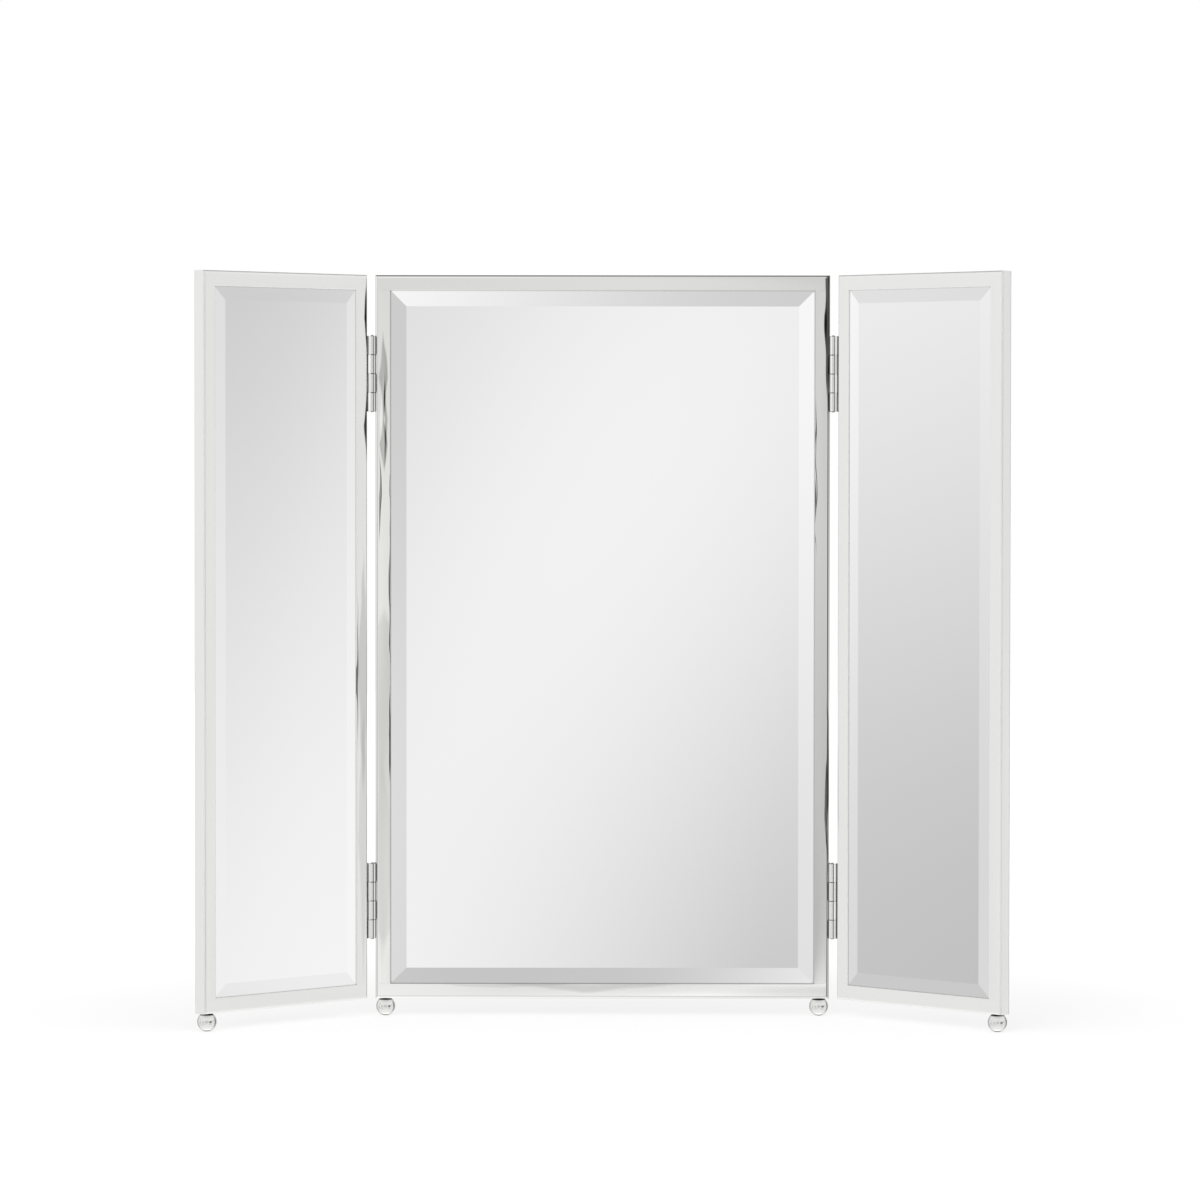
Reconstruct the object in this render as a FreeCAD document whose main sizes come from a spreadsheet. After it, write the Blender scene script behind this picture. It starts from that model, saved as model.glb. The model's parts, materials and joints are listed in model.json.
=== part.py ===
import FreeCAD, Part
import os
import Sketcher

# Trifold dressing table mirror: a wide middle panel with a narrower wing hinged to each side.
# Each panel is a square metal bar frame that holds bevelled mirror glass, a felt pad, a backing
# board and a screwed back cover. Butt hinges join the wings to the middle, and ball feet carry it.
# Millimetres, +Z up, the glass faces -Y. The origin is on the table, in the middle of the ground
# that the mirror covers with its wings swung forward.

doc = FreeCAD.newDocument("trifold_mirror")

# Driving dimensions, in millimetres, and the wings' angle in degrees
driving = [
    ("centre_width", 382.0, "middle panel, outside width"),
    ("wing_width", 182.0, "wing, outside width"),
    ("panel_height", 609.0, "all panels, outside height"),
    ("wing_angle", 45.0, "wings swung forward from flat"),
    ("bar_face", 12.7, "frame bar, seen from the front"),
    ("bar_depth", 12.7, "frame bar, front to back"),
    ("edge_round", 2.4, "rounding along the outer edges of the bar"),
    ("lip_thickness", 1.5, "lip in front of the glass, front to back"),
    ("lip_cover", 3.5, "width of the rabbet behind the lip"),
    ("lip_round", 0.5, "rounding of the lip's inner edge"),
    ("ledge_width", 6.0, "ledge that the back cover is screwed to"),
    ("glass_thickness", 4.0, "mirror glass"),
    ("centre_bevel", 16.5, "middle panel's bevel, from the edge of the glass"),
    ("wing_bevel", 14.3, "wings' bevel, from the edge of the glass"),
    ("bevel_drop", 1.8, "thickness that the middle panel's bevel takes off at the edge"),
    ("glass_play", 0.4, "room round the glass, the pad and the board"),
    ("glass_seat", 0.05, "room between the lip and the bevel"),
    ("pad_thickness", 1.2, "felt pad behind the glass"),
    ("cover_thickness", 2.0, "back cover"),
    ("cover_sunk", 0.2, "back cover below the back of the frame"),
    ("cover_play", 0.3, "room round the back cover"),
    ("cover_screw_end", 25.0, "end screws of the back cover, from the ends of the frame"),
    ("ball_diameter", 16.0, "ball foot"),
    ("ball_seat", 8.8, "flat on the ball under the frame, across"),
    ("ball_flat", 3.0, "flat that the ball stands on, across"),
    ("ball_inset", 8.3, "ball's centre from the end of the frame"),
    ("stud_diameter", 4.0, "stud that holds the ball"),
    ("stud_in_frame", 7.0, "stud's length in the frame"),
    ("stud_in_ball", 6.0, "stud's length in the ball"),
    ("stud_play", 0.03, "room round the stud"),
    ("stud_room", 0.4, "room past each end of the stud"),
    ("hinge_length", 63.5, "butt hinge, along the pin"),
    ("hinge_end", 51.0, "hinge from the end of the frame"),
    ("leaf_thickness", 1.3, "hinge leaf"),
    ("leaf_rear", 9.5, "rear edge of a leaf, behind the front of the frame"),
    ("leaf_round", 1.2, "rear corners of a leaf"),
    ("knuckle_gap", 0.45, "gap between knuckles"),
    ("knuckle_room", 0.35, "room between a leaf and the other leaf's knuckles"),
    ("pin_diameter", 2.5, "hinge pin"),
    ("pin_play", 0.05, "room round the pin"),
    ("pin_tip", 0.8, "domed end of the pin past the knuckles"),
    ("pin_forward", 2.2, "pin's axis in front of the frames"),
    ("screw_head", 4.4, "countersunk head, across"),
    ("screw_shank", 2.4, "screw's shank, across"),
    ("screw_length", 6.5, "screw, with its head"),
    ("screw_point", 1.2, "pointed end of the screw"),
    ("slot_width", 0.7, "slot in a screw's head, across"),
    ("slot_depth", 0.6, "slot in a screw's head, deep"),
    ("screw_play", 0.05, "room round a screw"),
    ("screw_room", 0.5, "room past the point of a screw"),
    ("leaf_screw_end", 9.0, "end screws of a leaf, from the ends of the hinge"),
    ("leaf_screw_back", 5.9, "leaf screws, behind the front of the frame"),
]
sheet = doc.addObject("Spreadsheet::Sheet", "Sizes")
for row, (alias, number, meaning) in enumerate(driving, start=1):
    sheet.set(f"A{row}", meaning)
    sheet.set(f"B{row}", str(number))
    sheet.setAlias(f"B{row}", alias)
doc.recompute()

# Heights above the table
ball_middle = "(sqrt(Sizes.ball_diameter^2 - Sizes.ball_flat^2) / 2)"
foot_height = f"({ball_middle} + sqrt(Sizes.ball_diameter^2 - Sizes.ball_seat^2) / 2)"
frame_top = f"({foot_height} + Sizes.panel_height)"
hinge_levels = {
    "lower": f"({foot_height} + Sizes.hinge_end)",
    "upper": f"({frame_top} - Sizes.hinge_end - Sizes.hinge_length)",
}

# Depths behind the front of a frame: all the bevels are ground at one slope
bevel_slope = "(Sizes.bevel_drop / Sizes.centre_bevel)"
cover_back = "(Sizes.bar_depth - Sizes.cover_sunk)"
cover_front = f"({cover_back} - Sizes.cover_thickness)"

# Widths in from the outside of a frame
rabbet_wall = "(Sizes.bar_face - Sizes.lip_cover)"
rebate_wall = f"({rabbet_wall} - Sizes.ledge_width)"
glass_edge = f"({rabbet_wall} + Sizes.glass_play)"
cover_edge = f"({rebate_wall} + Sizes.cover_play)"
cover_screw_line = f"({rebate_wall} + Sizes.ledge_width / 2)"

# Fasteners: a screw's pilot hole, and a stud's hole
pilot_radius = "(Sizes.screw_shank / 2 + Sizes.screw_play)"
pilot_depth = "(Sizes.screw_length + Sizes.screw_room)"
stud_hole = "(Sizes.stud_diameter / 2 + Sizes.stud_play)"

# Hinges: a leaf is rolled round the pin, so its back is level with the outside of the barrel
bore_radius = "(Sizes.pin_diameter / 2 + Sizes.pin_play)"
barrel_radius = f"({bore_radius} + Sizes.leaf_thickness)"
knuckle_pitch = "(Sizes.hinge_length / 4)"
knuckle_length = f"({knuckle_pitch} - Sizes.knuckle_gap)"
leaf_front = f"({barrel_radius} - Sizes.pin_forward + Sizes.knuckle_room)"

# Places of the panels: the middle one faces forward, and the wings turn about their pins
front_reach = (
    f"(({barrel_radius} + Sizes.wing_width - Sizes.edge_round) * sin(Sizes.wing_angle)"
    " - (Sizes.edge_round + Sizes.pin_forward) * cos(Sizes.wing_angle)"
    " + Sizes.edge_round + Sizes.pin_forward)"
)
back_reach = "max(Sizes.bar_depth; (Sizes.bar_depth + Sizes.ball_diameter) / 2)"
centre_y = f"(({front_reach} - {back_reach}) / 2)"
pin_x = f"(Sizes.centre_width / 2 + {barrel_radius})"
pin_y = f"({centre_y} - Sizes.pin_forward)"
wing_arm = f"({barrel_radius} + Sizes.wing_width / 2)"
wing_x = (
    f"({pin_x} + {wing_arm} * cos(Sizes.wing_angle)"
    " + Sizes.pin_forward * sin(Sizes.wing_angle))"
)
wing_y = (
    f"({pin_y} - {wing_arm} * sin(Sizes.wing_angle)"
    " + Sizes.pin_forward * cos(Sizes.wing_angle))"
)
left, right = -1, 1
side_names = {left: "left", right: "right"}
panels = {
    "centre": {
        "width": "Sizes.centre_width", "bevel": "Sizes.centre_bevel",
        "x": "0", "y": centre_y, "turn": "0",
        "hinged": (left, right), "footed": (left, right), "end_screws": True,
    },
    "left_wing": {
        "width": "Sizes.wing_width", "bevel": "Sizes.wing_bevel",
        "x": f"-{wing_x}", "y": wing_y, "turn": "Sizes.wing_angle",
        "hinged": (right,), "footed": (left,), "end_screws": False,
    },
    "right_wing": {
        "width": "Sizes.wing_width", "bevel": "Sizes.wing_bevel",
        "x": wing_x, "y": wing_y, "turn": "-Sizes.wing_angle",
        "hinged": (left,), "footed": (right,), "end_screws": False,
    },
}
for panel in panels.values():
    bevel_shown = f"({panel['bevel']} - Sizes.lip_cover + Sizes.glass_play)"
    glass_front = f"(Sizes.lip_thickness + Sizes.glass_seat - {bevel_slope} * {bevel_shown})"
    panel["glass_front"] = glass_front
    panel["bevel_foot"] = f"({glass_front} + {bevel_slope} * {panel['bevel']})"
    panel["glass_back"] = f"({glass_front} + Sizes.glass_thickness)"
    panel["pad_back"] = f"({panel['glass_back']} + Sizes.pad_thickness)"
straight = FreeCAD.Rotation()
turned_over = FreeCAD.Rotation(FreeCAD.Vector(1, 0, 0), 180)
nodes = []


# Drawing and shaping

def new_body(label):
    body = doc.addObject("PartDesign::Body", label)
    body.Label = label
    return body


def keep(piece, panel, height="0"):
    piece.setExpression("Placement.Base.x", panel["x"])
    piece.setExpression("Placement.Base.y", panel["y"])
    piece.setExpression("Placement.Base.z", height)
    piece.setExpression("Placement.Rotation.Angle", panel["turn"])
    nodes.append(piece)


def new_sketch(body, name, role, offset="0"):
    sketch = body.newObject("Sketcher::SketchObject", f"{body.Name}_{name}")
    plane = next(part for part in body.Origin.OriginFeatures if part.Role == role)
    sketch.AttachmentSupport = [(plane, "")]
    sketch.MapMode = "FlatFace"
    sketch.setExpression("AttachmentOffset.Base.z", offset)
    return sketch


def constrain(sketch, kind, *terms, to):
    index = sketch.addConstraint(Sketcher.Constraint(kind, *terms, 1.0))
    sketch.setExpression(f"Constraints[{index}]", to)


def fix_point(sketch, element, point, x, y):
    constrain(sketch, "DistanceX", -1, 1, element, point, to=x)
    constrain(sketch, "DistanceY", -1, 1, element, point, to=y)


def polygon(sketch, corners):
    first = sketch.GeometryCount
    for x, y in corners:
        rough = Part.LineSegment(FreeCAD.Vector(1, 1, 0), FreeCAD.Vector(2, 3, 0))
        line = sketch.addGeometry(rough)
        if line > first:
            sketch.addConstraint(Sketcher.Constraint("Coincident", line - 1, 2, line, 1))
        fix_point(sketch, line, 2, x, y)
    sketch.addConstraint(Sketcher.Constraint("Coincident", line, 2, first, 1))


def rectangle(sketch, x_ends, y_ends):
    (low_x, high_x), (low_y, high_y) = x_ends, y_ends
    polygon(sketch, [(low_x, low_y), (high_x, low_y), (high_x, high_y), (low_x, high_y)])


def circle(sketch, x, y, radius):
    rough = Part.Circle(FreeCAD.Vector(1, 1, 0), FreeCAD.Vector(0, 0, 1), 1.0)
    ring = sketch.addGeometry(rough)
    fix_point(sketch, ring, 3, x, y)
    constrain(sketch, "Radius", ring, to=radius)


def pad(body, sketch, length, reverse=False):
    feature = body.newObject("PartDesign::Pad", f"{sketch.Name}_pad")
    feature.Profile = sketch
    feature.setExpression("Length", length)
    feature.Reversed = reverse
    doc.recompute()
    return feature


def revolve(body, sketch):
    feature = body.newObject("PartDesign::Revolution", f"{sketch.Name}_turned")
    feature.Profile = sketch
    feature.ReferenceAxis = (sketch, ["V_Axis"])
    feature.Angle = 360
    doc.recompute()


def check_cut(body, feature, before):
    doc.recompute()
    if not body.Shape.Volume < before:
        raise RuntimeError(f"{feature.Name} cuts nothing")


def pocket(body, sketch, depth, reverse=False):
    before = body.Shape.Volume
    feature = body.newObject("PartDesign::Pocket", f"{sketch.Name}_pocket")
    feature.Profile = sketch
    feature.setExpression("Length", depth)
    feature.Reversed = reverse
    check_cut(body, feature, before)
    return feature


def countersunk_holes(body, sketch, reverse=False):
    doc.recompute()
    before = body.Shape.Volume
    feature = body.newObject("PartDesign::Hole", f"{sketch.Name}_countersunk")
    feature.Profile = sketch
    feature.DepthType = "ThroughAll"
    feature.HoleCutType = "Countersink"
    feature.HoleCutCustomValues = True
    feature.setExpression("Diameter", f"2 * {pilot_radius}")
    feature.setExpression("HoleCutDiameter", "Sizes.screw_head + 2 * Sizes.screw_play")
    feature.HoleCutCountersinkAngle = 90
    feature.Reversed = reverse
    check_cut(body, feature, before)


def close_to(*numbers):
    return max(numbers) - min(numbers) < 1e-4


def edges_where(feature, test):
    edges = enumerate(feature.Shape.Edges, start=1)
    return [f"Edge{number}" for number, edge in edges if test(edge.BoundBox)]


def fillet(body, feature, edges, radius):
    rounded = body.newObject("PartDesign::Fillet", f"{feature.Name}_fillet")
    rounded.Base = (feature, edges)
    rounded.setExpression("Radius", radius)
    doc.recompute()
    return rounded


def panel_outline(sketch, panel, inset):
    half = f"({panel['width']} / 2 - {inset})"
    rectangle(sketch, (f"-{half}", half), (f"{foot_height} + {inset}", f"{frame_top} - {inset}"))


# Where the screws go: each circle is a hole, and make_screws puts a screw in it

def cover_screw_circles(sketch, panel):
    # three screws down each side and, on the wide panel, one in the middle of each end
    line = f"({panel['width']} / 2 - {cover_screw_line})"
    low = f"({foot_height} + Sizes.cover_screw_end)"
    high = f"({frame_top} - Sizes.cover_screw_end)"
    for height in (low, f"({low} + {high}) / 2", high):
        circle(sketch, line, height, pilot_radius)
        circle(sketch, f"-{line}", height, pilot_radius)
    if panel["end_screws"]:
        circle(sketch, "0", f"{foot_height} + {cover_screw_line}", pilot_radius)
        circle(sketch, "0", f"{frame_top} - {cover_screw_line}", pilot_radius)


def leaf_screw_circles(sketch, base):
    low = f"({base} + Sizes.leaf_screw_end)"
    high = f"({base} + Sizes.hinge_length - Sizes.leaf_screw_end)"
    for height in (low, f"({low} + {high}) / 2", high):
        circle(sketch, "Sizes.leaf_screw_back", height, pilot_radius)


def make_screw():
    # countersunk screw with a slotted head that is level with the origin
    body = new_body("screw_form")
    section = new_sketch(body, "section", "XZ_Plane")
    cone = "-(Sizes.screw_head - Sizes.screw_shank) / 2"
    point = "Sizes.screw_point - Sizes.screw_length"
    polygon(section, [
        ("0", "0"), ("Sizes.screw_head / 2", "0"), ("Sizes.screw_shank / 2", cone),
        ("Sizes.screw_shank / 2", point), ("0", "-Sizes.screw_length"),
    ])
    revolve(body, section)
    slot = new_sketch(body, "slot", "XY_Plane")
    rectangle(
        slot, ("-Sizes.screw_head / 2", "Sizes.screw_head / 2"),
        ("-Sizes.slot_width / 2", "Sizes.slot_width / 2"),
    )
    pocket(body, slot, "Sizes.slot_depth")
    return body.Shape


def make_screws(label, panel, holes):
    # holes: hole sketches, each with its body's height and the way its heads face
    screws = []
    for sketch, height, facing in holes:
        raised = FreeCAD.Placement(FreeCAD.Vector(0, 0, height), straight).multiply(sketch.Placement)
        for ring in sketch.Geometry:
            spot = raised.multiply(FreeCAD.Placement(ring.Center, facing))
            screws.append(screw_shape.transformed(spot.Matrix))
    group = doc.addObject("Part::Feature", label)
    group.Label = label
    group.Shape = Part.makeCompound(screws)
    keep(group, panel)


# The pieces

def make_frame(name, panel):
    # Square bar, rounded along its outer edges, with a lip in front of the glass, a rabbet behind
    # the lip for the glass and its backing, and a shallow rebate for the back cover
    body = new_body(f"{name}_frame")
    outline = new_sketch(body, "outline", "XZ_Plane")
    panel_outline(outline, panel, "0")
    pad(body, outline, "Sizes.bar_depth", reverse=True)
    opening = new_sketch(body, "opening", "XZ_Plane")
    panel_outline(opening, panel, "Sizes.bar_face")
    pocket(body, opening, "Sizes.bar_depth")
    rabbet = new_sketch(body, "rabbet", "XZ_Plane", "-Sizes.lip_thickness")
    panel_outline(rabbet, panel, rabbet_wall)
    pocket(body, rabbet, "Sizes.bar_depth - Sizes.lip_thickness")
    rebate = new_sketch(body, "rebate", "XZ_Plane", f"-{cover_front}")
    panel_outline(rebate, panel, rebate_wall)
    bar = pocket(body, rebate, "Sizes.bar_depth")
    box = bar.Shape.BoundBox

    def runs_outside(edge):
        upright = close_to(edge.XMin, edge.XMax) and (
            close_to(edge.XMin, box.XMin) or close_to(edge.XMin, box.XMax)
        )
        level = close_to(edge.ZMin, edge.ZMax) and (
            close_to(edge.ZMin, box.ZMin) or close_to(edge.ZMin, box.ZMax)
        )
        return close_to(edge.YMin, edge.YMax) and (upright or level)

    def runs_round_lip(edge):
        inside = edge.XMin > box.XMin + sheet.edge_round and edge.XMax < box.XMax - sheet.edge_round
        below = edge.ZMin > box.ZMin + sheet.edge_round and edge.ZMax < box.ZMax - sheet.edge_round
        in_face = close_to(edge.YMin, edge.YMax, box.YMin)
        return in_face and inside and below

    lip = fillet(body, bar, edges_where(bar, runs_round_lip), "Sizes.lip_round")
    fillet(body, lip, edges_where(lip, runs_outside), "Sizes.edge_round")

    cover_holes = new_sketch(body, "cover_holes", "XZ_Plane", f"-{cover_front}")
    cover_screw_circles(cover_holes, panel)
    pocket(body, cover_holes, f"{pilot_depth} - Sizes.cover_thickness", reverse=True)
    for side in panel["hinged"]:
        place = f"{side} * {panel['width']} / 2"
        leaf_holes = new_sketch(body, f"{side_names[side]}_leaf_holes", "YZ_Plane", place)
        for level in hinge_levels.values():
            leaf_screw_circles(leaf_holes, level)
        pocket(body, leaf_holes, f"{pilot_depth} - Sizes.leaf_thickness", reverse=side == left)
    stud_holes = new_sketch(body, "stud_holes", "XY_Plane", foot_height)
    for side in panel["footed"]:
        across = f"{side} * ({panel['width']} / 2 - Sizes.ball_inset)"
        circle(stud_holes, across, "Sizes.bar_depth / 2", stud_hole)
    pocket(body, stud_holes, "Sizes.stud_in_frame + Sizes.stud_room", reverse=True)
    keep(body, panel)


def make_glass(name, panel):
    # a plate as thick as the glass is at its edge, and a ruled loft for the four mitred bevels
    body = new_body(f"{name}_mirror_glass")
    edge = new_sketch(body, "edge", "XZ_Plane", f"-{panel['bevel_foot']}")
    panel_outline(edge, panel, glass_edge)
    pad(body, edge, f"{panel['glass_back']} - {panel['bevel_foot']}", reverse=True)
    foot = new_sketch(body, "bevel_foot", "XZ_Plane", f"-{panel['bevel_foot']}")
    panel_outline(foot, panel, glass_edge)
    field = new_sketch(body, "field", "XZ_Plane", f"-{panel['glass_front']}")
    panel_outline(field, panel, f"({glass_edge} + {panel['bevel']})")
    doc.recompute()
    bevel = body.newObject("PartDesign::AdditiveLoft", f"{body.Name}_bevel")
    bevel.Profile = foot
    bevel.Sections = [field]
    bevel.Ruled = True
    keep(body, panel)


def make_board(label, panel, inset, front, thickness):
    body = new_body(label)
    outline = new_sketch(body, "outline", "XZ_Plane", f"-{front}")
    panel_outline(outline, panel, inset)
    pad(body, outline, thickness, reverse=True)
    keep(body, panel)
    return body


def make_backing(name, panel):
    make_board(f"{name}_felt_pad", panel, glass_edge, panel["glass_back"], "Sizes.pad_thickness")
    make_board(
        f"{name}_backing_board", panel, glass_edge, panel["pad_back"],
        f"{cover_front} - {panel['pad_back']}",
    )
    cover = make_board(
        f"{name}_back_cover", panel, cover_edge, cover_front, "Sizes.cover_thickness"
    )
    holes = new_sketch(cover, "holes", "XZ_Plane", f"-{cover_back}")
    cover_screw_circles(holes, panel)
    countersunk_holes(cover, holes, reverse=True)
    make_screws(f"{name}_cover_screws", panel, [(holes, 0, turned_over)])


def make_foot(name, panel, side):
    # ball, drilled for its stud, with a flat under the frame and a small one to stand on
    across = f"{side} * ({panel['width']} / 2 - Sizes.ball_inset)"
    ball = new_body(f"{name}_ball_foot")
    sphere = ball.newObject("PartDesign::AdditiveSphere", f"{ball.Name}_sphere")
    sphere.setExpression("Radius", "Sizes.ball_diameter / 2")
    sphere.setExpression("Angle1", "-acos(Sizes.ball_flat / Sizes.ball_diameter)")
    sphere.setExpression("Angle2", "acos(Sizes.ball_seat / Sizes.ball_diameter)")
    sphere.setExpression("Placement.Base.x", across)
    sphere.setExpression("Placement.Base.y", "Sizes.bar_depth / 2")
    sphere.setExpression("Placement.Base.z", ball_middle)
    doc.recompute()
    drilling = new_sketch(ball, "drilling", "XY_Plane", foot_height)
    circle(drilling, across, "Sizes.bar_depth / 2", stud_hole)
    pocket(ball, drilling, "Sizes.stud_in_ball + Sizes.stud_room")
    keep(ball, panel)

    stud = new_body(f"{name}_foot_stud")
    shank = new_sketch(stud, "shank", "XY_Plane", f"{foot_height} - Sizes.stud_in_ball")
    circle(shank, across, "Sizes.bar_depth / 2", "Sizes.stud_diameter / 2")
    pad(stud, shank, "Sizes.stud_in_ball + Sizes.stud_in_frame")
    keep(stud, panel)


def make_leaf(label, panel, side, level):
    # Both leaves of a hinge are one pressing, turned over: from the front, the leaf on the left
    # edge of a panel has the first and third knuckles from the top, and the other has the rest
    edge = f"{side} * {panel['width']} / 2"
    face = f"{side} * ({panel['width']} / 2 + Sizes.leaf_thickness)"
    axis = f"{side} * ({panel['width']} / 2 + {barrel_radius})"
    lowest = f"(Sizes.knuckle_gap / 2 + {knuckle_pitch if side == left else '0'})"
    body = new_body(label)
    plate = new_sketch(body, "plate", "XY_Plane")
    rectangle(plate, (edge, face), (leaf_front, "Sizes.leaf_rear"))
    flat = pad(body, plate, "Sizes.hinge_length")
    box = flat.Shape.BoundBox

    def rear_corner(edge):
        at_end = close_to(edge.ZMin, edge.ZMax, box.ZMin) or close_to(edge.ZMin, edge.ZMax, box.ZMax)
        return at_end and close_to(edge.YMin, edge.YMax, box.YMax)

    fillet(body, flat, edges_where(flat, rear_corner), "Sizes.leaf_round")
    tongue = new_sketch(body, "tongue", "XY_Plane", lowest)
    rectangle(tongue, (edge, face), ("-Sizes.pin_forward", leaf_front))
    barrel = new_sketch(body, "barrel", "XY_Plane", lowest)
    circle(barrel, axis, "-Sizes.pin_forward", barrel_radius)
    rolled = [pad(body, tongue, knuckle_length), pad(body, barrel, knuckle_length)]
    knuckles = body.newObject("PartDesign::LinearPattern", f"{label}_knuckles")
    knuckles.Originals = rolled
    knuckles.Direction = (barrel, ["N_Axis"])
    knuckles.Occurrences = 2
    knuckles.setExpression("Length", f"2 * {knuckle_pitch}")
    body.Tip = knuckles
    doc.recompute()
    bore = new_sketch(body, "bore", "XY_Plane")
    circle(bore, axis, "-Sizes.pin_forward", bore_radius)
    pocket(body, bore, "Sizes.hinge_length", reverse=True)
    holes = new_sketch(body, "holes", "YZ_Plane", face)
    leaf_screw_circles(holes, "0")
    countersunk_holes(body, holes, reverse=side == left)
    keep(body, panel, level)
    doc.recompute()
    return holes, body.Placement.Base.z, turned_over if side == left else straight


def make_leaves(name, panel):
    spots = []
    for side in panel["hinged"]:
        for height, level in hinge_levels.items():
            if name == "centre":
                label = f"{side_names[side]}_{height}_hinge_centre_leaf"
            else:
                label = f"{name.split('_')[0]}_{height}_hinge_wing_leaf"
            spots.append(make_leaf(label, panel, side, level))
    make_screws(f"{name}_hinge_screws", panel, spots)


def make_pin(label, side, level):
    body = new_body(label)
    section = new_sketch(body, "section", "XY_Plane", "-Sizes.pin_tip")
    circle(section, "0", "0", "Sizes.pin_diameter / 2")
    shaft = pad(body, section, "Sizes.hinge_length + 2 * Sizes.pin_tip")
    rims = edges_where(shaft, lambda edge: close_to(edge.ZMin, edge.ZMax))
    fillet(body, shaft, rims, "Sizes.pin_tip")
    keep(body, {"x": f"{side} * {pin_x}", "y": pin_y, "turn": "0"}, level)


screw_shape = make_screw()
for name, panel in panels.items():
    make_frame(name, panel)
    make_glass(name, panel)
    make_backing(name, panel)
    make_leaves(name, panel)
    for side in panel["footed"]:
        make_foot(f"centre_{side_names[side]}" if name == "centre" else name, panel, side)
for side, side_name in side_names.items():
    for height, level in hinge_levels.items():
        make_pin(f"{side_name}_{height}_hinge_pin", side, level)
doc.recompute()

# Every feature has to be sound before any piece is written
for item in doc.Objects:
    if "Invalid" in item.State or "Error" in item.State:
        raise RuntimeError(f"{item.Name} failed: {item.State}")
for piece in nodes:
    if piece.Shape.isNull() or not piece.Shape.isValid() or not piece.Shape.Solids:
        raise RuntimeError(f"{piece.Label} has no sound solid")
os.makedirs("parts", exist_ok=True)
for piece in nodes:
    piece.Shape.exportStep(f"parts/{piece.Label}.step")
print(len(nodes), "pieces written")
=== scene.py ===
import json
import math
import bpy
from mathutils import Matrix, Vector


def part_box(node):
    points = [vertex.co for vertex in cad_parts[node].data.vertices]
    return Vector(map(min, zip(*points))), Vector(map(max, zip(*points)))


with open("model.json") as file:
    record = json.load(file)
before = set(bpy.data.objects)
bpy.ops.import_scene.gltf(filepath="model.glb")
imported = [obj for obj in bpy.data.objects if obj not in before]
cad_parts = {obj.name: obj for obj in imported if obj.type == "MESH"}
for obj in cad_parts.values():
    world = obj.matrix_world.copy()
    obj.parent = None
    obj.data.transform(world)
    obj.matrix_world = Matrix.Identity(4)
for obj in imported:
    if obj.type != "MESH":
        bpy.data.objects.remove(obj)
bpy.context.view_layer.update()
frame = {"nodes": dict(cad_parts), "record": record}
nodes = frame["nodes"]
bodies = frame["record"]["behaviour"]["bodies"]

mm = 0.001  # in Blender's metres
occlusionRays = 8  # per sample, for the painted shade in crevices and along the glass lip
# Sockets of the Mix node, whose names repeat
mixShare, firstVector, secondVector, firstColour, secondColour = 0, 4, 5, 6, 7
mixedVector, mixedColour = 1, 2


def linear(code):  # sRGB hex to linear RGBA
    parts = [int(code[i:i + 2], 16) / 255 for i in (1, 3, 5)]
    return [c / 12.92 if c <= 0.04045 else ((c + 0.055) / 1.055) ** 2.4 for c in parts] + [1.0]


def add(tree, kind, settings=None, links=None):  # a node, its settings and links, sockets by name or number
    node = tree.nodes.new(kind)
    for name, value in (settings or {}).items():
        if isinstance(name, int) or name in node.inputs.keys():
            node.inputs[name].default_value = value
        else:
            setattr(node, name, value)
    for name, source in (links or {}).items():
        tree.links.new(source, node.inputs[name])
    return node


def newMaterial(name):
    material = bpy.data.materials.new(name)
    material.use_nodes = True
    tree = material.node_tree
    return material, tree, tree.nodes["Principled BSDF"]


# Camera: in front of the middle panel, level with the upper part of the glass, tipped slightly down
cameraView = {
    "place": (-0.0015, -4.460, 0.4793), "far": 100,  # m
    "level": 90, "pitch": -1.63, "roll": -0.05, "yaw": 0.009,  # degrees
    "lens": 161.2, "sensor": 36,  # mm
}
eye = bpy.data.cameras.new("studioCamera")
eye.lens = cameraView["lens"]
eye.sensor_width = cameraView["sensor"]
eye.clip_end = cameraView["far"]
camera = bpy.data.objects.new("studioCamera", eye)
bpy.context.scene.collection.objects.link(camera)
camera.location = cameraView["place"]
camera.rotation_euler = [
    math.radians(angle)
    for angle in (cameraView["level"] + cameraView["pitch"], cameraView["roll"], cameraView["yaw"])
]
bpy.context.scene.camera = camera
bpy.context.scene.view_settings.view_transform = "Standard"
print("camera set")

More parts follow.
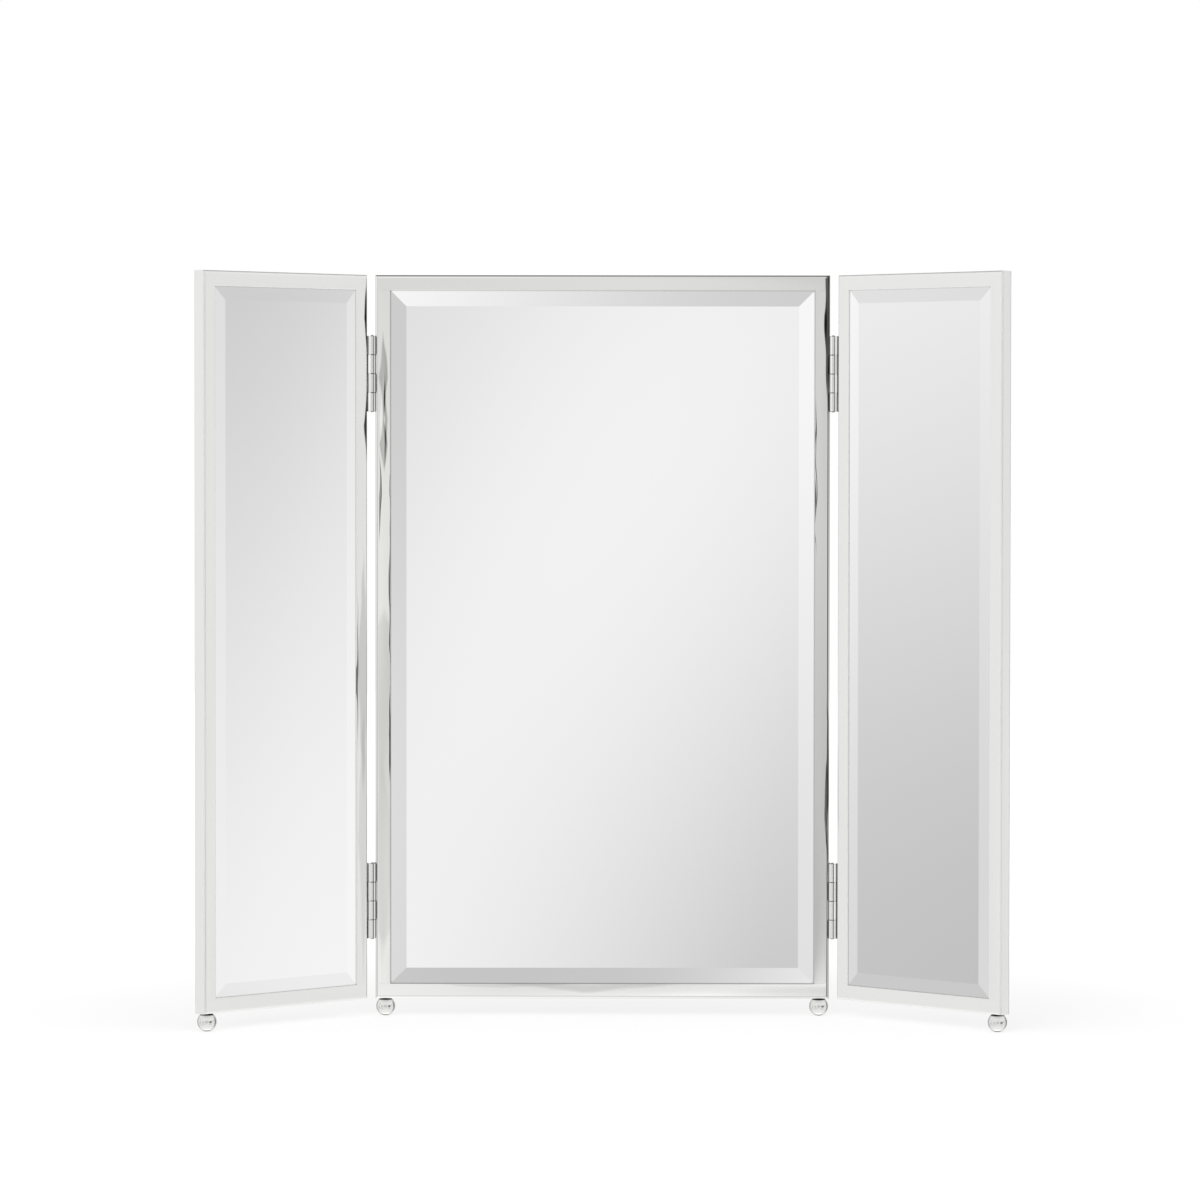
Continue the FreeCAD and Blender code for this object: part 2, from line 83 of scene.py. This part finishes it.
# Studio: polished metal and mirrors show nothing but what stands round them, so the white room has
# soft grey and white cards in it. A card: azimuth from the camera's side towards the right, height,
# half width, half height, roll (all in degrees) and how much it brightens or darkens the wall.
studio = {
    "wall": 0.95,  # the room as metal and mirrors show it, where 1 is white
    "fill": 0.62,  # the room's light on all other surfaces
    "darkest": 0.03,  # what dark cards leave where they overlap
    "cards": {
        "middleGrey": (-2.7, -2.2, 39.8, 25.3, -74, -0.58),
        "middleStrip": (-4, -8.3, 33.5, 6.9, -66, 0.59),
        "rightBevelCard": (10.3, 1.3, 16.9, 7.9, -8, 0.27),
        "topBevelCard": (-5.9, 8, 6.9, 32.3, 19, 0.51),
        "bottomBevelCard": (5.2, -8.5, 4, 24, 7, 0.53),
        "leftBevelCard": (-18.8, -5.4, 8.1, 5, -55, 0.36),
        "rightGrey": (90.2, 6.5, 13.3, 30.2, 83, -0.41),
        "rightCorner": (93.5, -4.7, 7.2, 18.2, 6.6, -1),
        "rightEndCard": (93.6, -0.8, 8.1, 25.5, 2, 0.87),
        "leftGrey": (-82.9, -3.4, 19.2, 43.4, 21.2, -0.39),
        "leftCorner": (-95.8, 5.2, 4.7, 24.5, 16.3, -0.29),
        "leftEndCard": (-81.6, 3.5, 36.4, 9.3, -4.9, 0.3),
        "rightTable": (86.2, -18.4, 4, 4.6, 20, -0.52),
        "tableStrip": (3, -6.3, 6, 0.75, 0, 1.6),
        "floorGlow": (0, -90, 64, 64, 0, 0.1),
        "rearFloorGlow": (180, -70, 40, 26, 0, 0.4),
        "ceilingShade": (0, 90, 62, 62, 0, -0.35),
        "leftFloor": (-40, -26, 17, 20, 0, -0.24),
        "rightFloor": (40, -26, 17, 20, 0, -0.24),
        "farLeftFloor": (-62, -28, 13, 20, 20, -0.2),
        "farRightFloor": (62, -28, 13, 20, -20, -0.2),
        "rearLeftFloor": (-130, -24, 20, 20, 0, -0.24),
        "rearRightFloor": (130, -24, 20, 20, 0, -0.24),
        "backShade": (180, 0, 75, 70, 0, -0.55),
        "topShade": (180, 65, 40, 40, 0, -1.2),
        "leftShade": (-128, 0, 12, 45, 0, -0.6),
        "rightShade": (123, 0, 19, 50, 0, -1.0),
        "leftStand": (-44, -2, 14, 14, 0, -0.8),
        "rightStand": (47, -2, 26, 14, 0, -2.0),
        "leftFlag": (-8.2, -2, 5.8, 14, 0, -1.3),
        "rightFlag": (8.2, -2, 5.8, 14, 0, -1.3),
    },
}


def hangCards(tree):
    direction = add(tree, "ShaderNodeTexCoord").outputs["Generated"]
    total = None
    for azimuth, height, wide, tall, roll, strength in studio["cards"].values():
        turn, rise = math.radians(azimuth), math.radians(height)
        middle = (math.cos(rise) * math.sin(turn), -math.cos(rise) * math.cos(turn), math.sin(rise))
        onCard = add(tree, "ShaderNodeMapping", {
            "vector_type": "TEXTURE", "Location": middle,
            "Rotation": (-rise, math.radians(roll), turn),
            "Scale": (math.radians(wide), 1, math.radians(tall)),
        }, {"Vector": direction})
        reach = add(tree, "ShaderNodeTexGradient", {"gradient_type": "SPHERICAL"}, {
            "Vector": onCard.outputs["Vector"],
        })
        soft = add(tree, "ShaderNodeMapRange", {
            "interpolation_type": "SMOOTHSTEP", "To Max": strength,
        }, {"Value": reach.outputs["Fac"]})
        added = add(tree, "ShaderNodeMath", {"operation": "ADD", 1: studio["wall"]}, {
            0: soft.outputs["Result"],
        })
        if total:
            tree.links.new(total, added.inputs[1])
        total = added.outputs["Value"]
    return add(tree, "ShaderNodeMath", {"operation": "MAXIMUM", 1: studio["darkest"]}, {
        0: total,
    }).outputs["Value"]


room = bpy.data.worlds.new("whiteStudio")
bpy.context.scene.world = room
room.use_nodes = True
tree = room.node_tree
tree.nodes.clear()
rays = add(tree, "ShaderNodeLightPath").outputs
white = add(tree, "ShaderNodeBackground", {"Color": (1, 1, 1, 1), "Strength": 1.0})
fill = add(tree, "ShaderNodeBackground", {"Color": (1, 1, 1, 1), "Strength": studio["fill"]})
cards = add(tree, "ShaderNodeBackground", {"Color": (1, 1, 1, 1)}, {"Strength": hangCards(tree)})
seen = add(tree, "ShaderNodeMath", {"operation": "MAXIMUM"}, {
    0: rays["Is Camera Ray"], 1: rays["Is Transmission Ray"],
})
lit = add(tree, "ShaderNodeMixShader", {}, {
    0: rays["Is Glossy Ray"], 1: fill.outputs["Background"], 2: cards.outputs["Background"],
})
shown = add(tree, "ShaderNodeMixShader", {}, {
    0: seen.outputs["Value"], 1: lit.outputs["Shader"], 2: white.outputs["Background"],
})
add(tree, "ShaderNodeOutputWorld", {}, {"Surface": shown.outputs["Shader"]})

# White floor: it glows as white as the backdrop, and takes shade only near the mirror
floorPaint = {
    "size": 12, "shadeReach": 0.9,  # m
    "colour": "#f4f4f4", "roughness": 0.9, "glow": 1.08,
    "shade": 0.3,  # share of real shading at the mirror
    "shadeFull": 0.6,  # how far in from its edge it is full, as a share of its reach
}
bpy.ops.object.select_all(action="DESELECT")
bpy.ops.mesh.primitive_plane_add(size=floorPaint["size"], location=(0, 0, 0))
floor = bpy.context.active_object
floor.name = "studioFloor"
paint, tree, surface = newMaterial("whiteFloorPaint")
surface.inputs["Base Color"].default_value = linear(floorPaint["colour"])
surface.inputs["Roughness"].default_value = floorPaint["roughness"]
surface.inputs["Specular IOR Level"].default_value = 0.0
glow = add(tree, "ShaderNodeEmission", {"Color": (1, 1, 1, 1), "Strength": floorPaint["glow"]})
place = add(tree, "ShaderNodeTexCoord").outputs["Object"]
near = add(tree, "ShaderNodeMapping", {"Scale": [1 / floorPaint["shadeReach"]] * 3}, {"Vector": place})
ring = add(tree, "ShaderNodeTexGradient", {"gradient_type": "SPHERICAL"}, {"Vector": near.outputs["Vector"]})
share = add(tree, "ShaderNodeMapRange", {
    "interpolation_type": "SMOOTHSTEP", "From Max": floorPaint["shadeFull"], "To Max": floorPaint["shade"],
}, {"Value": ring.outputs["Fac"]})
shaded = add(tree, "ShaderNodeMixShader", {}, {
    0: share.outputs["Result"], 1: glow.outputs["Emission"], 2: surface.outputs["BSDF"],
})
tree.links.new(shaded.outputs["Shader"], tree.nodes["Material Output"].inputs["Surface"])
floor.data.materials.append(paint)
floor.visible_glossy = False

lamps = {  # m and watts
    "overheadSoftbox": {"place": (0.0, -0.6, 2.6), "aim": (0, 0, 0), "size": 2.4, "power": 22},
    "frontSoftbox": {"place": (-1.2, -3.0, 1.8), "aim": (0, 0, 0.3), "size": 1.6, "power": 22},
}
for name, lamp in lamps.items():
    light = bpy.data.lights.new(name, "AREA")
    light.size = lamp["size"]
    light.energy = lamp["power"]
    softbox = bpy.data.objects.new(name, light)
    bpy.context.scene.collection.objects.link(softbox)
    softbox.location = lamp["place"]
    aim = [to - at for to, at in zip(lamp["aim"], lamp["place"])]
    level = math.hypot(aim[0], aim[1])
    softbox.rotation_euler = (math.atan2(level, -aim[2]), 0, math.atan2(aim[1], aim[0]) - math.pi / 2)
    softbox.visible_glossy = False
print("studio lit:", len(studio["cards"]), "cards,", len(lamps), "lamps")

# Nickel plate, buffed by hand. The wheel leaves long shallow waves along the bar and a few dents where it
# dug in, so that the edges of reflections wander, and a faint bloom that comes and goes. The colour is
# painted darker as painted shade in the crevices, and as painted dark reflections in some of the dents.
nickel = {
    # dark end of the nickel's colour: painted shade in crevices and at the ball tops, painted dark
    # reflections in dents, and the dark knuckle joints
    "paintedDark": "#1e1d1c",
    "waveWide": 14, "waveLong": 160, "waveHigh": 0.05,  # mm
    "waveSpan": (0.3, 0.7),  # the wave pattern's usual low and high
    "railLow": 27.2, "railHigh": 610.8,  # mm, inner edges of the bottom and top rails
    "shadeLeft": -190, "shadeRight": 190,  # mm, where the middle frame's two shades are pure; the darker right one is painted shade
    "creviceSpan": (0.35, 0.95),  # openness that counts as shut and as open
    "markDeep": 12,  # mm, how far dents and twists reach back from the front face
    "wander": 1.5, "wanderWide": 6, "wanderLong": 30,  # mm, how the outlines of dents stray
    "dentSpan": (0.15, 0.9), "paintedDarkSpan": (0.55, 0.85),  # half sizes, from the floor to the rim
    "twistFade": 0.12,  # share of a twist's half size over which it ends
    "knuckles": 4,  # on each hinge
    "jointWide": 1.1, "jointDark": 0.6,  # mm and a share, at the ends of the knuckles
    "ringSoft": 0.8,  # mm, over which the painted shade at the top of a ball comes in
}
# one nickel in lighter and darker copies: near white on the wings and hinges and darker on the feet, as
# painted light and shade
nickelFinishes = {  # bloom is roughness, turn in degrees, slope a ratio; crevice, ring and marks in mm
    "centre": {
        "bloom": (0.04, 0.1), "shades": ("#f1f1ef", "#dadad8"), "crevice": 2, "bar": "centre_frame",
        "dents": {  # x, z, half width, half height, depth, and a painted dark reflection as a share
            "leftUpper": (-184, 538, 5, 52, 0.016, 0.39), "leftMiddle": (-184, 503, 4.8, 54, 0.045, 0),
            "leftLower": (-184.2, 482, 4.6, 32, 0.012, 0.4), "leftTail": (-187.2, 436, 1.6, 50, 0.02, 0.6),
            "leftInner": (-178.6, 236, 2, 52, 0.05, 0.9), "leftInnerTop": (-178.6, 370, 1.2, 130, 0.03, 0.6),
            "rightUpper": (190, 590, 5, 110, 0.2, 0.74), "rightLower": (189.6, 190, 2.2, 110, 0.12, 0.75),
            "rightInner": (179.4, 455, 1.5, 84, 0.06, 0), "bottomMiddle": (-15, 27, 105, 8.8, 0.02, 0.14),
            "bottomLeft": (-82, 27.4, 100, 5, 0.01, 0.13), "leftFoot": (-185, 130, 14, 130, 0.002, 0.08),
        },
        "twists": {"leftLower": (-184, 200, 20, 150, 0.0085)},  # x, z, half width, half height, slope
    },
    "left_wing": {
        "turn": 45, "bloom": (0.4, 0.48), "shades": ("#fefefc",), "crevice": 0.8, "bar": "left_wing_frame",
        "dents": {
            "upperEdge": (-101.8, 588, 3.4, 42, 0.05, 1), "lowerEdge": (-102, 497, 3.4, 42, 0.05, 0.95),
            "middleBand": (-105.5, 290, 9, 140, 0.03, 0.22), "lowerBand": (-105.5, 150, 8.5, 160, 0.02, 0.14),
            "bandEdge": (-112, 290, 1.3, 90, 0.02, 0.75),
        },
    },
    "right_wing": {
        "turn": -45, "bloom": (0.4, 0.48), "shades": ("#fefefc",), "crevice": 0.8, "bar": "right_wing_frame",
        "dents": {"lowerEdge": (101.6, 190, 1.5, 60, 0.03, 0.3)},
    },
    "lowerHinges": {
        "bloom": (0.08, 0.11), "shades": ("#fcfcfa",), "crevice": 2, "leaf": "left_lower_hinge_centre_leaf",
    },
    "upperHinges": {
        "bloom": (0.08, 0.11), "shades": ("#fcfcfa",), "crevice": 2, "leaf": "left_upper_hinge_centre_leaf",
    },
    "feet": {"bloom": (0.2, 0.24), "shades": ("#ebebe9",), "crevice": 1.2, "ring": 12.9},
}


def stretch(tree, place, onStile, wide, long):  # a pattern drawn out along the stiles and the rails
    across, along = 1 / (wide * mm), 1 / (long * mm)
    stile = add(tree, "ShaderNodeMapping", {"Scale": (across, across, along)}, {"Vector": place})
    rail = add(tree, "ShaderNodeMapping", {"Scale": (along, across, across)}, {"Vector": place})
    return add(tree, "ShaderNodeMix", {"data_type": "VECTOR"}, {
        mixShare: onStile, firstVector: rail.outputs["Vector"], secondVector: stile.outputs["Vector"],
    }).outputs[mixedVector]


def paintBallTopShade(tree, height, ring, bright):  # painted shade above the ring, where a ball meets the frame
    below = add(tree, "ShaderNodeMapRange", {
        "interpolation_type": "SMOOTHSTEP", "From Min": ring * mm,
        "From Max": (ring + nickel["ringSoft"]) * mm, "To Min": 1.0, "To Max": 0.0,
    }, {"Value": height})
    return add(tree, "ShaderNodeMath", {"operation": "MULTIPLY"}, {
        0: bright, 1: below.outputs["Result"],
    }).outputs["Value"]


def darkenJoints(tree, height, leaf, bright):  # the rims of the knuckles, spaced evenly along a leaf
    low, high = [corner[2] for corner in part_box(leaf)]
    pitch = (high - low) / nickel["knuckles"]
    rimHalf = nickel["jointWide"] / 2 * mm
    above = add(tree, "ShaderNodeMath", {"operation": "SUBTRACT", 1: low}, {0: height})
    away = add(tree, "ShaderNodeMath", {"operation": "PINGPONG", 1: pitch / 2}, {0: above.outputs["Value"]})
    rim = add(tree, "ShaderNodeMapRange", {
        "interpolation_type": "SMOOTHSTEP", "From Min": rimHalf / 2, "From Max": rimHalf,
        "To Min": 1 - nickel["jointDark"],
    }, {"Value": away.outputs["Value"]})
    return add(tree, "ShaderNodeMath", {"operation": "MULTIPLY"}, {
        0: bright, 1: rim.outputs["Result"],
    }).outputs["Value"]


def frontFace(bar, turn):  # how far back a turned bar's front face lies
    across, along = math.sin(math.radians(turn)), math.cos(math.radians(turn))
    return min(point.co.y * along - point.co.x * across for point in nodes[bar].data.vertices)


def fromMark(tree, place, front, x, z, wide, tall):  # place counted in half sizes from a mark on the front
    return add(tree, "ShaderNodeMapping", {
        "vector_type": "TEXTURE", "Location": (x * mm, front, z * mm),
        "Scale": (wide * mm, nickel["markDeep"] * mm, tall * mm),
    }, {"Vector": place}).outputs["Vector"]


def stray(tree, flat, height):  # place pushed to and fro, so that the outlines of dents aren't straight
    aboveRail = add(tree, "ShaderNodeMath", {"operation": "GREATER_THAN", 1: nickel["railLow"] * mm}, {
        0: height,
    }).outputs["Value"]
    push = add(tree, "ShaderNodeTexNoise", {"Scale": 1.0, "Detail": 0.0}, {
        "Vector": stretch(tree, flat, aboveRail, nickel["wanderWide"], nickel["wanderLong"]),
    })
    far = nickel["wander"] * mm
    bent = add(tree, "ShaderNodeVectorMath", {
        "operation": "MULTIPLY_ADD", 1: (2 * far, 0, 2 * far), 2: (-far, 0, -far),
    }, {0: push.outputs["Color"]})
    return add(tree, "ShaderNodeVectorMath", {"operation": "ADD"}, {
        0: flat, 1: bent.outputs["Vector"],
    }).outputs["Vector"]


def markBar(tree, surface, flat, height, waves, finish, bright):  # waves, dents and twists of a frame's bar
    front = frontFace(finish["bar"], finish.get("turn", 0))
    wavy = stray(tree, flat, height)
    relief = add(tree, "ShaderNodeMath", {"operation": "MULTIPLY", 1: nickel["waveHigh"]}, {
        0: waves,
    }).outputs["Value"]
    dentFloor, dentRim = nickel["dentSpan"]
    paintedDarkFloor, paintedDarkRim = nickel["paintedDarkSpan"]
    for x, z, wide, tall, depth, paintedDark in finish["dents"].values():
        away = add(tree, "ShaderNodeVectorMath", {"operation": "ABSOLUTE"}, {
            0: fromMark(tree, wavy, front, x, z, wide, tall),
        })
        spindle = add(tree, "ShaderNodeVectorMath", {"operation": "DOT_PRODUCT", 1: (1, 1, 1)}, {
            0: away.outputs["Vector"],
        }).outputs["Value"]
        drop = add(tree, "ShaderNodeMapRange", {
            "interpolation_type": "SMOOTHSTEP", "From Min": dentFloor, "From Max": dentRim,
            "To Min": -depth, "To Max": 0.0,
        }, {"Value": spindle})
        relief = add(tree, "ShaderNodeMath", {"operation": "ADD"}, {
            0: relief, 1: drop.outputs["Result"],
        }).outputs["Value"]
        # painted reflection: the colour darkens towards a dent's middle by its share, standing in for a dark
        # reflection
        if paintedDark:
            markShade = add(tree, "ShaderNodeMapRange", {
                "interpolation_type": "SMOOTHSTEP", "From Min": paintedDarkFloor, "From Max": paintedDarkRim,
                "To Min": 1 - paintedDark,
            }, {"Value": spindle})
            bright = add(tree, "ShaderNodeMath", {"operation": "MULTIPLY"}, {
                0: bright, 1: markShade.outputs["Result"],
            }).outputs["Value"]
    for x, z, wide, tall, slope in finish.get("twists", {}).values():
        spot = fromMark(tree, flat, front, x, z, wide, tall)
        reach = add(tree, "ShaderNodeTexGradient", {"gradient_type": "SPHERICAL"}, {"Vector": spot})
        held = add(tree, "ShaderNodeMapRange", {
            "interpolation_type": "SMOOTHSTEP", "From Max": nickel["twistFade"],
        }, {"Value": reach.outputs["Fac"]})
        lean = add(tree, "ShaderNodeVectorMath", {"operation": "DOT_PRODUCT", 1: (slope * wide, 0, 0)}, {
            0: spot,
        })
        relief = add(tree, "ShaderNodeMath", {"operation": "MULTIPLY_ADD"}, {
            0: lean.outputs["Value"], 1: held.outputs["Result"], 2: relief,
        }).outputs["Value"]
    bump = add(tree, "ShaderNodeBump", {"Strength": 1.0, "Distance": mm}, {"Height": relief})
    tree.links.new(bump.outputs["Normal"], surface.inputs["Normal"])
    return bright


def makeNickel(name, finish):
    material, tree, surface = newMaterial(name)
    place = add(tree, "ShaderNodeTexCoord").outputs["Object"]
    height = add(tree, "ShaderNodeSeparateXYZ", {}, {"Vector": place}).outputs["Z"]
    flat = place
    if "turn" in finish:
        flat = add(tree, "ShaderNodeVectorRotate", {
            "rotation_type": "Z_AXIS", "Angle": -math.radians(finish["turn"]),
        }, {"Vector": place}).outputs["Vector"]
    middle = (nickel["railLow"] + nickel["railHigh"]) / 2 * mm
    half = (nickel["railHigh"] - nickel["railLow"]) / 2 * mm
    onStile = add(tree, "ShaderNodeMath", {"operation": "COMPARE", 1: middle, 2: half}, {
        0: height,
    }).outputs["Value"]
    waves = add(tree, "ShaderNodeTexNoise", {"Scale": 1.0, "Detail": 0.0}, {
        "Vector": stretch(tree, flat, onStile, nickel["waveWide"], nickel["waveLong"]),
    }).outputs["Fac"]
    trough, crest = nickel["waveSpan"]
    clear, dull = finish["bloom"]
    bloom = add(tree, "ShaderNodeMapRange", {
        "From Min": trough, "From Max": crest, "To Min": clear, "To Max": dull,
    }, {"Value": waves})
    # painted shade: the colour darkens towards the dark end in crevices, where other surfaces lie within the
    # occlusion reach
    openness = add(tree, "ShaderNodeAmbientOcclusion", {
        "samples": occlusionRays, "Distance": finish["crevice"] * mm,
    })
    shut, wideOpen = nickel["creviceSpan"]
    bright = add(tree, "ShaderNodeMapRange", {
        "interpolation_type": "SMOOTHSTEP", "From Min": shut, "From Max": wideOpen,
    }, {"Value": openness.outputs["AO"]}).outputs["Result"]
    if "ring" in finish:
        bright = paintBallTopShade(tree, height, finish["ring"], bright)
    if "leaf" in finish:
        bright = darkenJoints(tree, height, finish["leaf"], bright)
    if "bar" in finish:
        bright = markBar(tree, surface, flat, height, waves, finish, bright)
    tone = add(tree, "ShaderNodeMix", {
        "data_type": "RGBA",
        firstColour: linear(nickel["paintedDark"]), secondColour: linear(finish["shades"][0]),
    }, {mixShare: bright})
    # painted shade: the middle frame's colour darkens from left to right
    if len(finish["shades"]) > 1:
        left, right = finish["shades"]
        sideways = add(tree, "ShaderNodeSeparateXYZ", {}, {"Vector": flat}).outputs["X"]
        side = add(tree, "ShaderNodeMapRange", {
            "From Min": nickel["shadeLeft"] * mm, "From Max": nickel["shadeRight"] * mm,
        }, {"Value": sideways})
        metal = add(tree, "ShaderNodeMix", {
            "data_type": "RGBA", firstColour: linear(left), secondColour: linear(right),
        }, {mixShare: side.outputs["Result"]})
        tree.links.new(metal.outputs[mixedColour], tone.inputs[secondColour])
    surface.inputs["Metallic"].default_value = 1.0
    tree.links.new(tone.outputs[mixedColour], surface.inputs["Base Color"])
    tree.links.new(bloom.outputs["Result"], surface.inputs["Roughness"])
    return material


nickels = {name: makeNickel(f"buffedNickel_{name}", finish) for name, finish in nickelFinishes.items()}

# Silvered float glass: flat and spotless, a trace of haze where it was wiped, and a thin darker line along
# the lip that is painted shade
mirrorGlass = {
    "silver": "#f6f6f6",
    "lipShade": {"centre": "#b4b4b4", "left_wing": "#d6d6d6", "right_wing": "#d6d6d6"},
    "lipShadeReach": 3,  # mm
    "lipShadeSpan": (0.5, 0.7),  # openness that counts as fully shaded and as unshaded
    "wipe": 83.3,  # mm, from stroke to stroke
    "wipeDetail": 3.0, "wipeSpan": (0.4, 0.8),
    "haze": 0.03,  # roughness where it is haziest
}


def makeGlass(name, lipShade):
    material, tree, surface = newMaterial(name)
    place = add(tree, "ShaderNodeTexCoord").outputs["Object"]
    wipe = add(tree, "ShaderNodeTexNoise", {
        "Scale": 1 / (mirrorGlass["wipe"] * mm), "Detail": mirrorGlass["wipeDetail"],
    }, {"Vector": place})
    clear, hazy = mirrorGlass["wipeSpan"]
    film = add(tree, "ShaderNodeMapRange", {
        "From Min": clear, "From Max": hazy, "To Min": 0.0, "To Max": mirrorGlass["haze"],
    }, {"Value": wipe.outputs["Fac"]})
    # painted shade: the silver darkens in a thin line where the frame's lip stands close
    openness = add(tree, "ShaderNodeAmbientOcclusion", {
        "samples": occlusionRays, "Distance": mirrorGlass["lipShadeReach"] * mm,
    })
    fullyShaded, unshadedFrom = mirrorGlass["lipShadeSpan"]
    lipUnshaded = add(tree, "ShaderNodeMapRange", {"From Min": fullyShaded, "From Max": unshadedFrom}, {
        "Value": openness.outputs["AO"],
    })
    tone = add(tree, "ShaderNodeMix", {
        "data_type": "RGBA", firstColour: linear(lipShade), secondColour: linear(mirrorGlass["silver"]),
    }, {mixShare: lipUnshaded.outputs["Result"]})
    tree.links.new(tone.outputs[mixedColour], surface.inputs["Base Color"])
    surface.inputs["Metallic"].default_value = 1.0
    tree.links.new(film.outputs["Result"], surface.inputs["Roughness"])
    return material


silvers = {name: makeGlass(f"silveredGlass_{name}", lipShade) for name, lipShade in mirrorGlass["lipShade"].items()}

# Charcoal lacquer on hardboard, sprayed: matt, with a fine orange peel
lacquerCoat = {
    "darker": "#2b2c2e", "lighter": "#35363a", "roughness": 0.55,
    "cloud": 60, "peel": 1.5, "peelHigh": 0.2,  # mm
    "cloudDetail": 4.0, "peelDetail": 2.0, "peelShare": 0.4,
}
lacquer, tree, surface = newMaterial("charcoalLacquer")
place = add(tree, "ShaderNodeTexCoord").outputs["Object"]
peel = add(tree, "ShaderNodeTexNoise", {
    "Scale": 1 / (lacquerCoat["peel"] * mm), "Detail": lacquerCoat["peelDetail"],
}, {"Vector": place})
bump = add(tree, "ShaderNodeBump", {
    "Strength": lacquerCoat["peelShare"], "Distance": lacquerCoat["peelHigh"] * mm,
}, {"Height": peel.outputs["Fac"]})
cloud = add(tree, "ShaderNodeTexNoise", {
    "Scale": 1 / (lacquerCoat["cloud"] * mm), "Detail": lacquerCoat["cloudDetail"],
}, {"Vector": place})
tone = add(tree, "ShaderNodeMix", {
    "data_type": "RGBA",
    firstColour: linear(lacquerCoat["darker"]), secondColour: linear(lacquerCoat["lighter"]),
}, {mixShare: cloud.outputs["Fac"]})
tree.links.new(tone.outputs[mixedColour], surface.inputs["Base Color"])
tree.links.new(bump.outputs["Normal"], surface.inputs["Normal"])
surface.inputs["Roughness"].default_value = lacquerCoat["roughness"]

# Pressed wool felt: short matted fibres, drawn as tufts coarse enough to show, soft and dead matt
feltPad = {
    "darker": "#3c3d40", "lighter": "#5a5b5e", "roughness": 1.0,
    "fibre": 0.8, "fibreHigh": 0.3,  # mm
    "fibreDetail": 5.0, "tangle": 1.2, "fibreShare": 0.6,
}
felt, tree, surface = newMaterial("pressedWoolFelt")
place = add(tree, "ShaderNodeTexCoord").outputs["Object"]
fibres = add(tree, "ShaderNodeTexNoise", {
    "Scale": 1 / (feltPad["fibre"] * mm), "Detail": feltPad["fibreDetail"], "Distortion": feltPad["tangle"],
}, {"Vector": place})
bump = add(tree, "ShaderNodeBump", {
    "Strength": feltPad["fibreShare"], "Distance": feltPad["fibreHigh"] * mm,
}, {"Height": fibres.outputs["Fac"]})
tone = add(tree, "ShaderNodeMix", {
    "data_type": "RGBA", firstColour: linear(feltPad["darker"]), secondColour: linear(feltPad["lighter"]),
}, {mixShare: fibres.outputs["Fac"]})
tree.links.new(tone.outputs[mixedColour], surface.inputs["Base Color"])
tree.links.new(bump.outputs["Normal"], surface.inputs["Normal"])
surface.inputs["Roughness"].default_value = feltPad["roughness"]

# Hardboard, wet-pressed wood fibre: brown, with darker flecks
backingBoard = {
    "darker": "#5e4630", "lighter": "#8c6d4c", "roughness": 0.8,
    "fleck": 3,  # mm
    "fleckDetail": 6.0, "crumb": 0.7,
}
hardboard, tree, surface = newMaterial("pressedHardboard")
place = add(tree, "ShaderNodeTexCoord").outputs["Object"]
flecks = add(tree, "ShaderNodeTexNoise", {
    "Scale": 1 / (backingBoard["fleck"] * mm), "Detail": backingBoard["fleckDetail"],
    "Roughness": backingBoard["crumb"],
}, {"Vector": place})
tone = add(tree, "ShaderNodeMix", {
    "data_type": "RGBA",
    firstColour: linear(backingBoard["darker"]), secondColour: linear(backingBoard["lighter"]),
}, {mixShare: flecks.outputs["Fac"]})
tree.links.new(tone.outputs[mixedColour], surface.inputs["Base Color"])
surface.inputs["Roughness"].default_value = backingBoard["roughness"]

# Bright zinc-plated steel, tumbled: fine grain in the shine, drawn coarser than it is so that it shows
screwSteel = {
    "darker": "#c2c2be", "lighter": "#dcdcd8",
    "grain": 0.6,  # mm
    "grainDetail": 3.0, "grainSpan": (0.3, 0.7), "shine": (0.18, 0.34),  # shine is roughness
}
steel, tree, surface = newMaterial("brightPlatedSteel")
place = add(tree, "ShaderNodeTexCoord").outputs["Object"]
grain = add(tree, "ShaderNodeTexNoise", {
    "Scale": 1 / (screwSteel["grain"] * mm), "Detail": screwSteel["grainDetail"],
}, {"Vector": place})
tone = add(tree, "ShaderNodeMix", {
    "data_type": "RGBA",
    firstColour: linear(screwSteel["darker"]), secondColour: linear(screwSteel["lighter"]),
}, {mixShare: grain.outputs["Fac"]})
fine, coarse = screwSteel["grainSpan"]
bright, dull = screwSteel["shine"]
rough = add(tree, "ShaderNodeMapRange", {
    "From Min": fine, "From Max": coarse, "To Min": bright, "To Max": dull,
}, {"Value": grain.outputs["Fac"]})
surface.inputs["Metallic"].default_value = 1.0
tree.links.new(tone.outputs[mixedColour], surface.inputs["Base Color"])
tree.links.new(rough.outputs["Result"], surface.inputs["Roughness"])

finishes = {"back_cover": lacquer, "felt": felt, "backing_board": hardboard, "fastener_steel": steel}
slots = {part["node"]: part["material_slot"] for part in frame["record"]["subparts"]}
for body, members in bodies.items():
    for name in members:
        node = nodes[name]
        if slots[name] == "polished_nickel":
            if name.endswith("_frame"):
                kind = body
            elif name.endswith("_foot"):
                kind = "feet"
            else:
                kind = "lowerHinges" if "_lower_" in name else "upperHinges"
            finish = nickels[kind]
        elif slots[name] == "mirror_glass":
            finish = silvers[body]
        else:
            finish = finishes[slots[name]]
        node.data.materials.clear()
        node.data.materials.append(finish)
        node.visible_glossy = False  # the mirrors show the studio alone
print("finishes on")
